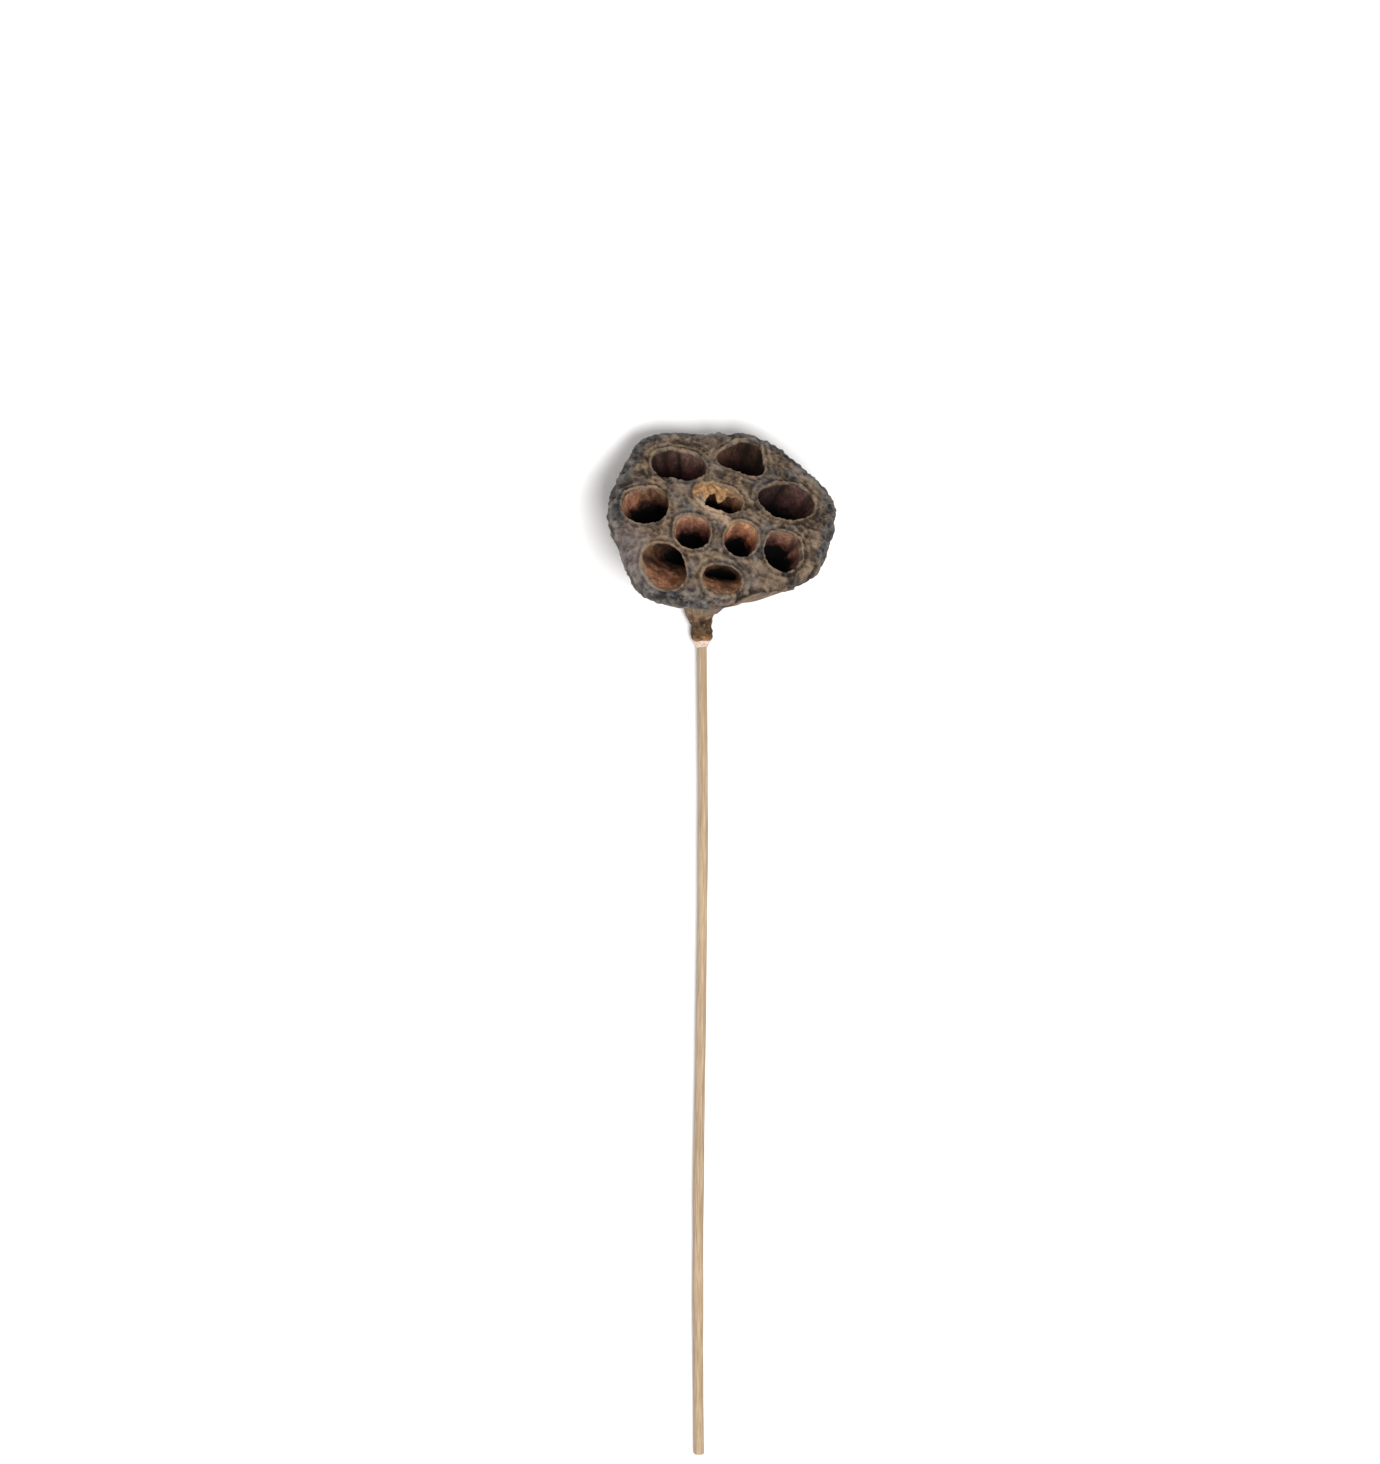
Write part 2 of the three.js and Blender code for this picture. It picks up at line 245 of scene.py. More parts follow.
def crust_edge(angle):
    """How high the ragged lower edge of the face's crust is."""
    return CRUST_EDGE + 2.6 * round_noise(angle, 14, 0, 1, 3) + 1.3 * round_noise(angle, 44, 0, 1, 4)


def body_field(across, up, out):
    radius = np.hypot(across, up)
    angle = np.arctan2(up, across)
    side_at = side_radius(angle, out)
    under_crust = crust_edge(angle[:, :, :1]) - out
    side_at = side_at - CRUST_THICKNESS * smooth_step(under_crust, -0.6, 0.6) * bell(
        np.maximum(under_crust, 0), 9
    )
    steepness = np.gradient(side_at, out[0, 0, 1] - out[0, 0, 0], axis=2)
    side = (radius - side_at) / np.sqrt(1 + steepness**2)
    face_edge = rim_radius(angle[:, :, :1]) * (1 - RIM_ROUND / RIM_RADIUS)
    share = np.clip(radius / face_edge, 0, 1)
    face = out - POD_HEIGHT - FACE_DOME * (1 - share**2)
    inner = np.minimum(np.maximum(side, face), -RIM_ROUND)
    return inner + np.hypot(np.maximum(side + RIM_ROUND, 0), np.maximum(face + RIM_ROUND, 0))


def cell_place(cell, across, up, out):
    """Where points are in a cell: distance from its axis, angle round it, height over its mouth,
    and how wide the mouth is at that angle."""
    at = cell["at"]
    mouth = POD_HEIGHT + FACE_DOME * (1 - (math.hypot(*at) / RIM_RADIUS) ** 2)
    height = out - mouth
    depth = np.clip(-height / CELL_DEPTH, 0, 1)
    meeting = 1 + height / CELL_MEETING_DEPTH
    lean = cell.get("lean", (0, 0))
    from_x = across - at[0] * meeting - lean[0] * depth
    from_y = up - at[1] * meeting - lean[1] * depth
    away = np.hypot(from_x, from_y)
    angle = np.arctan2(from_y, from_x)
    turned = angle - math.radians(cell["turn"])
    wide = np.abs(np.cos(turned) / (cell["size"][0] / 2)) ** CELL_MOUTH_SQUARENESS
    high = np.abs(np.sin(turned) / (cell["size"][1] / 2)) ** CELL_MOUTH_SQUARENESS
    corner, corner_at = cell.get("corner", (0, 0))
    width = 1 + corner * np.cos(3 * (angle - math.radians(corner_at)))
    width = width / (wide + high) ** (1 / CELL_MOUTH_SQUARENESS)
    return away, angle, height, depth, width


def near_cell(cell, across, up):
    """The part of the grid that a cell can reach."""
    reach = max(cell["size"]) / 2 + 12
    columns = np.flatnonzero(np.abs(across[:, 0, 0] - cell["at"][0]) < reach)
    rows = np.flatnonzero(np.abs(up[0, :, 0] - cell["at"][1]) < reach)
    return slice(columns[0], columns[-1] + 1), slice(rows[0], rows[-1] + 1)


def creases_of(cell, angle, depth):
    """How far the folds down a cell's wall stand into the cell."""
    total = 0
    for at, height in cell.get("creases", []):
        total = total + height * bell(turn_from(angle, at), CREASE_WIDTH)
    return total * smooth_step(depth, 0.03, 0.2)


def wall_light(cell, angle):
    """How pale a cell's wall is painted: painted light on its lit side, and painted shadow beside
    each fold.
    """
    painted_light_and_shade = 1 + PAINTED_LIT_SIDE_SWING * np.cos(angle - math.radians(cell["pale_side"]))
    for at, height in cell.get("creases", []):
        beside = turn_from(angle, at) - CREASE_WIDTH
        painted_light_and_shade = painted_light_and_shade * (1 - 0.6 * bell(beside, CREASE_WIDTH * 0.7))
    return cell["light"] * painted_light_and_shade


def over_shelf(cell, away, angle, height, width):
    """A field that is negative over a cell's ledge, which is hollowed like a bowl, and past it."""
    at, reach, depth = cell["shelf"]
    at = math.radians(at)
    half = (cell["size"][0] * abs(math.cos(at)) + cell["size"][1] * abs(math.sin(at))) / 2
    inward = half - away * np.cos(angle - at)
    from_wall = np.maximum(width - away, 0)
    ledge = -depth * (1 - np.exp(-from_wall / 3)) - 0.26 * inward
    ledge = ledge + 0.5 * np.sin(angle * 7 + height) - 0.3
    return soft_min(ledge - height, (reach - inward) * 0.7, 6)


def cut_cell(field, cell, seed, across, up, out):
    """Raises the cell's lip on the face and takes the cell out of the body."""
    part = near_cell(cell, across, up)
    near = (across[part], up[part], out[part])
    away, angle, height, depth, width = cell_place(cell, *near)
    width = width * (1 + 0.045 * round_noise(angle, 9, 0, 1, seed))
    lip = LIP_HEIGHT * (0.75 + 0.6 * round_noise(angle, 16, 0, 1, seed + 20))
    lip = lip * bell(away - width - LIP_WIDTH * 0.6, LIP_WIDTH) * smooth_step(height, -6, -1)
    body = field[part] - lip
    flare = 0.5 * np.exp(np.minimum(height, 0) / 1.5)
    wall = width + flare - creases_of(cell, angle, depth)
    wall = wall + 0.35 * round_noise(angle, 22, height, 9, seed + 40) * smooth_step(depth, 0, 0.1)
    wall = np.maximum(wall, 1)
    level = np.sqrt((away / wall) ** 2 + depth**CELL_BOTTOM_CURVE)
    scale = lerp(wall, 12, smooth_step(depth, 0.6, 1))
    hollow = (level - 1) * scale
    hollow = np.maximum(hollow, -height - CELL_DEPTH)
    if "shelf" in cell:
        hollow = soft_max(hollow, over_shelf(cell, away, angle, height, width), 2)
    field[part] = soft_max(body, -hollow, 0.8)


def torn_cell_place(across, up, out):
    """Where points are in the torn cell: distance across and up from its axis, height over its
    mouth, and distance past the mouth's edge."""
    away, angle, height, _, width = cell_place(CELLS[TORN_CELL], across, up, out)
    return away * np.cos(angle), away * np.sin(angle), height, away - width


def add_torn_skin(field, across, up, out):
    """A torn sheet of skin that still covers the upper part of a cell's mouth."""
    part = near_cell(CELLS[TORN_CELL], across, up)
    from_x, from_y, height, past_edge = torn_cell_place(across[part], up[part], out[part])
    ragged = 1.6 + 0.3 * np.abs(from_x) - 3.8 * bell(from_x - 0.8, 1.6)
    ragged = ragged + 0.6 * np.sin(from_x * 2.3) - 10 * smooth_step(-from_x, 3, 5.5)
    sag = -1.5 - 0.12 * from_y + 0.35 * np.sin(from_x * 1.3 + from_y)
    sag = sag + 1.1 * smooth_step(-from_x, 2, 5)
    sheet = np.abs(height - sag) - SKIN_THICKNESS / 2
    sheet = np.maximum(sheet, ragged - from_y)
    sheet = np.maximum(sheet, past_edge - 1.5)
    field[part] = np.minimum(field[part], sheet)


def smooth_line(route, count):
    """Points evenly spread by number along a smooth line through the route's points."""
    route = np.array(route, float)
    padded = np.vstack([2 * route[0] - route[1], route, 2 * route[-1] - route[-2]])
    place = np.linspace(0, len(route) - 1 - 1e-6, count)
    index = place.astype(int)
    t = (place - index)[:, None]
    p0, p1, p2, p3 = (padded[index + k] for k in range(4))
    return 0.5 * (
        2 * p1
        + (p2 - p0) * t
        + (2 * p0 - 5 * p1 + 4 * p2 - p3) * t**2
        + (3 * p1 - p0 - 3 * p2 + p3) * t**3
    )


def to_pod_frame(points):
    """From the frame at the pod's base that is turned as the part's frame."""
    return np.asarray(points, float) @ np.array(POD_TURN)


NECK_LINE = to_pod_frame(smooth_line(NECK_ROUTE, 60))
NECK_STEPS = np.linalg.norm(np.diff(NECK_LINE, axis=0), axis=1)
NECK_ALONG = np.concatenate([[0], np.cumsum(NECK_STEPS)])
NECK_LENGTH = NECK_ALONG[-1]


def neck_radius(along):
    ring_start = NECK_LENGTH - RING_LENGTH
    stops = np.linspace(0, ring_start, len(NECK_RADII))
    plain = np.interp(along, stops, NECK_RADII)
    share = np.clip((along - ring_start) / RING_LENGTH, 0, 1)
    swell = np.sqrt(np.clip(1 - (2 * share - 1) ** 4, 0, 1))
    ring = lerp(NECK_RADII[-1] - 0.3, RING_RADIUS, swell)
    return np.where(along > ring_start, ring, plain)


def place_on_neck(points):
    """Distance from the neck's middle line and place along it, for an (n, 3) list of points."""
    nearest = np.full(len(points), 1e9)
    along = np.zeros(len(points))
    for start, end, travelled in zip(NECK_LINE[:-1], NECK_LINE[1:], NECK_ALONG[:-1]):
        step = end - start
        share = np.clip(((points - start) @ step) / (step @ step), 0, 1)
        away = np.linalg.norm(points - start - share[:, None] * step, axis=1)
        closer = away < nearest
        nearest = np.where(closer, away, nearest)
        along = np.where(closer, travelled + share * np.linalg.norm(step), along)
    return nearest, along


def add_neck(field, points, shape):
    """Blends the neck into the body, and takes out the socket that holds the stem."""
    near = np.flatnonzero(np.linalg.norm(points - NECK_LINE.mean(axis=0), axis=1) < 24)
    close = points[near]
    away, along = place_on_neck(close)
    neck = away - neck_radius(along)
    flat = field.reshape(-1)
    body = flat[near]
    blend = np.clip(0.5 + 0.5 * (neck - body) / NECK_BLEND, 0, 1)
    joined = lerp(neck, body, blend) - NECK_BLEND * blend * (1 - blend)
    past_end = (close - NECK_LINE[-1]) @ NECK_END_DIRECTION
    joined = np.where(along > NECK_LENGTH - RING_LENGTH, np.maximum(joined, past_end), joined)
    socket_start = to_pod_frame(stem_point(np.array([0.0])))[0]
    along_stem = (close - socket_start) @ STEM_DIRECTION
    from_stem = np.linalg.norm(close - socket_start - along_stem[:, None] * STEM_DIRECTION, axis=1)
    socket = np.maximum(from_stem - STEM_TOP_RADIUS - SOCKET_GAP, -along_stem - SOCKET_GAP)
    flat[near] = np.maximum(joined, -socket)
    return flat.reshape(shape)


# The stem's middle line

def stem_point(share):
    """Points on the stem's middle line, from the pod's base: share runs from 0 to 1."""
    ring_end = NECK_ROUTE[-1]
    floor = -POD_BASE.z
    return np.stack(
        [
            ring_end[0] + STEM_DRIFT * share - STEM_WAVE * np.sin(2 * math.pi * share),
            ring_end[1] - SOCKET_DEPTH + STEM_LENGTH * share,
            lerp(ring_end[2], floor + STEM_END_RADIUS, share)
            + STEM_BOW * np.sin(math.pi * share),
        ],
        axis=1,
    )


def direction(start, end):
    return (end - start) / np.linalg.norm(end - start)


NECK_END_DIRECTION = direction(NECK_LINE[-2], NECK_LINE[-1])
STEM_DIRECTION = direction(*to_pod_frame(stem_point(np.array([0.0, 0.02]))))


# From the field to the pod's mesh

def sample(field, places):
    """The field's values at places between the grid's points, in grid steps."""
    corner = np.minimum(places.astype(int), np.array(field.shape) - 2)
    share = places - corner
    total = np.zeros(len(places))
    for step in np.ndindex(2, 2, 2):
        weight = np.prod(np.where(step, share, 1 - share), axis=1)
        total += weight * field[tuple((corner + step).T)]
    return total


def pod_surface():
    """The pod's vertices, in mm in its own frame, its four-cornered faces, and how deep each
    vertex lies in the body that the cells are cut from."""
    half = RIM_RADIUS + 12
    low = np.array([-half, -half, -14.0])
    high = np.array([half, half, POD_HEIGHT + FACE_DOME + 5])
    axes = [np.arange(a, b, GRID_STEP) for a, b in zip(low, high)]
    across, up, out = np.meshgrid(*axes, indexing="ij")
    body = body_field(across, up, out)
    field = body.copy()
    for number, cell in enumerate(CELLS):
        cut_cell(field, cell, 100 + number, across, up, out)
    add_torn_skin(field, across, up, out)
    points = np.stack([across.ravel(), up.ravel(), out.ravel()], axis=1)
    field = add_neck(field, points, field.shape)
    grid = openvdb.FloatGrid(BAND)
    grid.copyFromArray(np.clip(field, -BAND, BAND).astype(np.float32))
    places, faces = grid.convertToQuads(isovalue=0)
    places, faces = largest_piece(places, faces)
    return places * GRID_STEP + low, faces, -sample(body, places)


def largest_piece(vertices, faces):
    """Leaves out crumbs that hang in the air."""
    label = np.arange(len(vertices))
    while True:
        lowest = label[faces].min(axis=1)
        updated = label.copy()
        np.minimum.at(updated, faces.ravel(), np.repeat(lowest, faces.shape[1]))
        updated = updated[updated]
        if np.array_equal(updated, label):
            break
        label = updated
    main = np.bincount(label).argmax()
    kept = label == main
    number = np.cumsum(kept) - 1
    return vertices[kept], number[faces[kept[faces[:, 0]]]]


def mesh_object(name, vertices, faces):
    """A smooth object from vertices in metres in the part's frame."""
    mesh = bpy.data.meshes.new(name)
    mesh.from_pydata(vertices, [], faces)
    mesh.validate()
    mesh.shade_smooth()
    made = bpy.data.objects.new(name, mesh)
    bpy.context.scene.collection.objects.link(made)
    return made


def vertex_normals(vertices, faces):
    corners = vertices[faces]
    face_normals = np.cross(corners[:, 2] - corners[:, 0], corners[:, 3] - corners[:, 1])
    normals = np.zeros_like(vertices)
    for corner in range(4):
        np.add.at(normals, faces[:, corner], face_normals)
    return normals / np.maximum(np.linalg.norm(normals, axis=1, keepdims=True), 1e-9)


def from_line(across, up, start, end):
    """Distance from the straight line between two places on the face."""
    step = np.subtract(end, start)
    share = ((across - start[0]) * step[0] + (up - start[1]) * step[1]) / (step @ step)
    share = np.clip(share, 0, 1)
    return np.hypot(across - start[0] - share * step[0], up - start[1] - share * step[1])


def mark_cells(marks, across, up, out):
    """Marks the lips, and how deep each vertex is in the nearest cell and how that cell looks, with
    its painted light and painted shade.
    """
    for name in ("depth", "lip", "warm", "light", "dark"):
        marks[name] = np.zeros(len(out))
    marks["from_mouth"] = np.full(len(out), 1e9)
    for cell in CELLS:
        away, around, height, _, width = cell_place(cell, across, up, out)
        edge = np.abs(away - width - 0.2) + np.maximum(-height - 1, 0)
        marks["lip"] = np.maximum(marks["lip"], bell(edge, 0.8) * (out > POD_HEIGHT - 5))
        closer = away - width < marks["from_mouth"]
        found = {
            "from_mouth": away - width,
            "depth": np.clip(-height / CELL_DEPTH, 0, 1),
            "light": wall_light(cell, around),
            "warm": cell["warm"],
            "dark": cell["dark"],
        }
        for name, value in found.items():
            marks[name] = np.where(closer, value, marks[name])


def mark_crust(marks, across, up, out):
    """Marks the crust, the rim, the rim's tan and pale parts, and the tan fold."""
    angle = np.arctan2(up, across)
    share = np.hypot(across, up) / rim_radius(angle)
    marks["crust"] = smooth_step(out - crust_edge(angle), -0.7, 0.7)
    marks["rim"] = smooth_step(share, 0.8, 0.98) * marks["crust"]
    for name, at, spread in (("tan", TAN_RIM_AT, 42), ("pale", PALE_RIM_AT, 22)):
        turned = turn_from(angle, at) / math.radians(spread)
        marks[name] = bell(turned, 1) * smooth_step(share, 0.6, 0.9)
    on_top = (1 - marks["hollow"]) * (out > CRUST_EDGE)
    marks["fold"] = bell(from_line(across, up, *TAN_FOLD), TAN_FOLD_WIDTH) * on_top


def mark_neck(marks, vertices):
    """Marks the neck, by how far along it each vertex is; it has no crust."""
    away, along = place_on_neck(vertices)
    on_neck = smooth_step(along, 5, 10) * smooth_step(neck_radius(along) + 2.5 - away, 0, 1.5)
    marks["neck"] = on_neck * np.clip(along / NECK_LENGTH, 0, 1)
    marks["crust"] = marks["crust"] * (1 - marks["neck"].clip(0, 0.2) * 5)


def mark_torn_skin(marks, across, up, out):
    """Marks the torn skin, which turns from tan to a cell wall's red on one side."""
    from_x, from_y, height, past_edge = torn_cell_place(across, up, out)
    sheet = (past_edge < 0.3) & (np.abs(height + 1.4) < 1.9) & (from_y > -7)
    crusted = smooth_step(-1.5 - from_y, 0, 1.5) * smooth_step(-from_x, 2.5, 3.5)
    red = 0.85 * smooth_step(from_x, 1.5, 5)
    marks["skin"] = sheet * (1 - crusted) * (1 - red)
    marks["hollow"] = np.where(sheet, red, marks["hollow"])


def pod_marks(vertices, buried):
    """Numbers at each vertex that say where on the pod it is. All run from 0 to 1 but light, and
    from_mouth, which is in mm."""
    across, up, out = vertices.T
    marks = {}
    mark_cells(marks, across, up, out)
    marks["hollow"] = smooth_step(buried, 0.7, 1.7) * (out > POD_HEIGHT - CELL_DEPTH - 6)
    marks["depth"] = marks["depth"] * marks["hollow"]
    mark_crust(marks, across, up, out)
    mark_neck(marks, vertices)
    mark_torn_skin(marks, across, up, out)
    return marks


def crust_relief(vertices, marks):
    """How far the crust is raised: folds round the cells, a network, crumbs, and knobs on the rim."""
    beside = marks["from_mouth"] + 0.7 * smooth_noise(vertices, 4, 7)
    waves = np.cos(2 * math.pi * (beside - 0.4) / COLLAR_SPACING)
    collars = COLLAR_HEIGHT * waves * np.exp(-np.abs(beside) / COLLAR_REACH)
    swirl = np.stack([smooth_noise(vertices, 6, seed) for seed in (8, 9, 10)], axis=1)
    network = 0.5 * ridge_noise(vertices + 2.5 * swirl, 5, 11) - 0.3
    crumbs = 0.38 * ridge_noise(vertices + 1.4 * swirl, 2.1, 12) - 0.19
    grains = 0.32 * smooth_noise(vertices, 1.15, 13)
    knobs = 0.6 * smooth_noise(vertices, 3.2, 14) + 0.28 * smooth_noise(vertices, 1.7, 15)
    open_face = marks["crust"] * (1 - marks["hollow"]) * (1 - 0.6 * marks["lip"])
    return open_face * (network + crumbs + grains + collars) + marks["rim"] * knobs


def side_relief(vertices, marks):
    """How far the side is raised: folds and finer fibres that run from the neck to the crust."""
    angle = np.arctan2(vertices[:, 1], vertices[:, 0])
    out = vertices[:, 2]
    folds = 0.6 * round_noise(angle, 30, out, 26, 16) + 0.35 * round_noise(angle, 75, out, 16, 17)
    folds = folds * smooth_step(out, -2, 14)
    fibres = 0.18 * round_noise(angle, 170, out, 10, 18) * smooth_step(out, 4, 20)
    side = (1 - marks["crust"]) * (1 - marks["hollow"]) * (1 - smooth_step(marks["neck"], 0.3, 0.5))
    return side * (folds + fibres)


def roughen(vertices, faces, marks):
    """Crumbles the crust, wrinkles the side, knots the neck and creases the cells' walls, and
    marks the crests."""
    gnarls = 0.42 * smooth_noise(vertices, 2.2, 19) + 0.25 * smooth_noise(vertices, 1.2, 20)
    wall = 0.3 * smooth_noise(vertices * [1, 1, 0.3], 2.2, 21)
    lip = 0.25 * smooth_noise(vertices, 1.1, 22)
    lift = crust_relief(vertices, marks) + side_relief(vertices, marks)
    lift = lift + smooth_step(marks["neck"], 0.25, 0.45) * gnarls + marks["hollow"] * wall
    lift = lift + marks["lip"] * lip + marks["fold"] * TAN_FOLD_HEIGHT
    lift = lift * (1 - 0.8 * marks["skin"])
    marks["crest"] = np.clip(0.5 + lift * 0.5, 0, 1)
    del marks["from_mouth"]
    return vertices + vertex_normals(vertices, faces) * lift[:, None]


def to_part_frame(vertices):
    """From the pod's frame in mm to the part's frame in metres."""
    return (vertices @ np.array(POD_TURN).T + np.array(POD_BASE)) * MM


def keep_marks(made, marks):
    for name, values in marks.items():
        layer = made.data.attributes.new(name, "FLOAT", "POINT")
        layer.data.foreach_set("value", np.asarray(values, np.float32))


def keep_place(made, name, places):
    layer = made.data.attributes.new(name, "FLOAT_VECTOR", "POINT")
    layer.data.foreach_set("vector", np.asarray(places, np.float32).ravel())


def rest_on_floor(vertices):
    """Nothing of the roughened pod goes through the floor."""
    vertices[:, 2] = np.maximum(vertices[:, 2], 0)
    return vertices


def build_pod():
    vertices, faces, buried = pod_surface()
    marks = pod_marks(vertices, buried)
    rough = roughen(vertices, faces, marks)
    pod = mesh_object("pod", rest_on_floor(to_part_frame(rough)), faces)
    keep_marks(pod, marks)
    keep_place(pod, "place", vertices)
    keep_place(pod, "wall", vertices * [1, 1, 0.25])
    angle = np.arctan2(vertices[:, 1], vertices[:, 0])
    streaks = [np.cos(angle) * 20, np.sin(angle) * 20, vertices[:, 2] * 0.1]
    keep_place(pod, "streak", np.stack(streaks, axis=1))
    return pod


# The stem and the glue, as rings along the stem's middle line

def stem_rings(along, radius, sides):
    """Rings of vertices round the stem's middle line, in metres in the part's frame: along holds
    each vertex's place along the stem and radius its distance from the line, both (rings, sides)."""
    share = along / STEM_LENGTH
    middle = stem_point(share.ravel()).reshape(*share.shape, 3)
    ahead = stem_point(share.ravel() + 1e-3).reshape(*share.shape, 3)
    tangent = (ahead - middle) / np.linalg.norm(ahead - middle, axis=2, keepdims=True)
    side = np.cross(tangent, [0, 0, 1.0])
    side = side / np.linalg.norm(side, axis=2, keepdims=True)
    rise = np.cross(side, tangent)
    angle = np.linspace(0, 2 * math.pi, sides, endpoint=False)[None, :, None]
    spread = radius[:, :, None] * (np.cos(angle) * side + np.sin(angle) * rise)
    return (middle + spread + np.array(POD_BASE)) * MM


def ring_faces(rings, sides, closed=False):
    """Faces between neighbouring rings; closed also joins the last ring to the first."""
    faces = []
    for ring in range(rings if closed else rings - 1):
        after = (ring + 1) % rings
        for side in range(sides):
            beside = (side + 1) % sides
            near = (ring * sides + side, ring * sides + beside)
            far = (after * sides + beside, after * sides + side)
            faces.append(near + far)
    return faces


def build_stem():
    sides = 48
    step = 0.8
    body = np.arange(0, STEM_LENGTH, step)
    # At both ends the rings close in over a slightly rounded edge to the middle.
    closing = np.array([1, 0.97, 0.9, 0.7, 0.45, 0.2, 0.02])
    cap = STEM_LENGTH + np.array([0, 0.12, 0.16, 0.1, 0.02, -0.08, -0.1])
    along = np.concatenate([0.5 - 0.5 * closing[::-1], body[2:], cap])
    narrowing = np.concatenate([closing[::-1], np.ones(len(body) - 2), closing])
    angle = np.linspace(0, 2 * math.pi, sides, endpoint=False)
    angles, places = np.meshgrid(angle, along)
    radius = lerp(STEM_TOP_RADIUS, STEM_END_RADIUS, places / STEM_LENGTH)
    radius = radius + 0.1 * round_noise(angles * 0, 1, places, 24, 31)
    radius = radius + 0.09 * round_noise(angles, 5, places, 45, 32)
    radius = radius + 0.05 * round_noise(angles, 22, places, 30, 33)
    radius = radius + 0.03 * round_noise(angles, 60, places, 12, 34)
    radius = radius * narrowing[:, None]
    torn = 0.12 * round_noise(angles, 30, radius, 0.4, 35) * (places > STEM_LENGTH - 0.5)
    rings = stem_rings(places + torn, radius, sides)
    vertices = rings.reshape(-1, 3)
    vertices[:, 2] = np.maximum(vertices[:, 2], 0)
    stem = mesh_object("reed_stem", vertices, ring_faces(len(along), sides))
    is_cut = (np.arange(len(along)) >= len(along) - len(closing) + 1).astype(float)
    marks = {
        "cut": np.repeat(is_cut, sides),
        "from_middle": (radius / STEM_END_RADIUS).ravel(),
        "toward_end": (places / STEM_LENGTH).ravel(),
    }
    keep_marks(stem, marks)
    streaks = [np.cos(angles) * 2, np.sin(angles) * 2, places * 0.03]
    keep_place(stem, "streak", np.stack(streaks, axis=2).reshape(-1, 3))
    return stem


def build_glue():
    sides, rows = 56, 18
    share = np.linspace(0, 1, rows)
    angle = np.linspace(0, 2 * math.pi, sides, endpoint=False)
    angles, shares = np.meshgrid(angle, share)
    run = 1 + 0.35 * round_noise(angles, 5, 0, 1, 41) + 0.3 * bell(angles - 3.3, 0.8)
    places = SOCKET_DEPTH - 0.1 + GLUE_LENGTH * shares * run
    radius = lerp(GLUE_RADIUS, GLUE_END_RADIUS, smooth_step(shares, 0, 1.05))
    radius = radius + 0.3 * round_noise(angles, 6, places, 3, 42) * (1 - shares) * 1.2
    radius = radius + 0.1 * round_noise(angles, 14, places, 1.2, 43)
    bore = np.full((2, sides), STEM_TOP_RADIUS - 0.15)
    ends = np.stack([places[-1], places[0]])
    places = np.concatenate([places, ends])
    radius = np.concatenate([np.maximum(radius, STEM_TOP_RADIUS + 0.1), bore])
    rings = stem_rings(places, radius, sides)
    return mesh_object("glue", rings.reshape(-1, 3), ring_faces(rows + 2, sides, closed=True))


# Materials

class Look:
    """A material's nodes, with a short name for each kind."""

    def __init__(self, name):
        self.material = bpy.data.materials.new(name)
        self.material.use_nodes = True
        self.tree = self.material.node_tree
        self.shader = self.tree.nodes["Principled BSDF"]

    def link(self, value, socket):
        if isinstance(value, bpy.types.NodeSocket):
            self.tree.links.new(value, socket)
        else:
            socket.default_value = value

    def mark(self, name, output="Fac"):
        node = self.tree.nodes.new("ShaderNodeAttribute")
        node.attribute_name = name
        return node.outputs[output]

    def noise(self, place, scale, detail=4, roughness=0.6, distortion=0):
        node = self.tree.nodes.new("ShaderNodeTexNoise")
        self.link(place, node.inputs["Vector"])
        node.inputs["Scale"].default_value = scale
        node.inputs["Detail"].default_value = detail
        node.inputs["Roughness"].default_value = roughness
        node.inputs["Distortion"].default_value = distortion
        return node.outputs["Fac"]

    def spread(self, value, low, high, to_low=0, to_high=1):
        """Maps low..high smoothly onto to_low..to_high."""
        node = self.tree.nodes.new("ShaderNodeMapRange")
        node.interpolation_type = "SMOOTHSTEP"
        self.link(value, node.inputs["Value"])
        node.inputs["From Min"].default_value = low
        node.inputs["From Max"].default_value = high
        node.inputs["To Min"].default_value = to_low
        node.inputs["To Max"].default_value = to_high
        return node.outputs["Result"]

    def sum(self, operation, a, b):
        node = self.tree.nodes.new("ShaderNodeMath")
        node.operation = operation
        self.link(a, node.inputs[0])
        self.link(b, node.inputs[1])
        return node.outputs[0]

    def mix(self, share, a, b):
        """Mixes two colours. The node's inputs 6 and 7 and its output 2 are the ones for colour."""
        node = self.tree.nodes.new("ShaderNodeMix")
        node.data_type = "RGBA"
        self.link(share, node.inputs[0])
        for value, socket in ((a, node.inputs[6]), (b, node.inputs[7])):
            self.link((*value, 1) if isinstance(value, tuple) else value, socket)
        return node.outputs[2]

    def scaled(self, color, share):
        node = self.tree.nodes.new("ShaderNodeVectorMath")
        node.operation = "SCALE"
        self.link(color, node.inputs[0])
        self.link(share, node.inputs["Scale"])
        return node.outputs[0]

    def ramp(self, value, stops):
        node = self.tree.nodes.new("ShaderNodeValToRGB")
        self.link(value, node.inputs["Fac"])
        elements = node.color_ramp.elements
        while len(elements) < len(stops):
            elements.new(0.5)
        for element, (place, color) in zip(elements, stops):
            element.position = place
            element.color = (*color, 1)
        return node.outputs["Color"]

    def bump(self, height, strength, distance, below=None):
        """distance is in metres."""
        node = self.tree.nodes.new("ShaderNodeBump")
        self.link(height, node.inputs["Height"])
        node.inputs["Strength"].default_value = strength
        node.inputs["Distance"].default_value = distance
        if below is not None:
            self.link(below, node.inputs["Normal"])
        return node.outputs["Normal"]

    def set(self, name, value):
        self.link(value, self.shader.inputs[name])


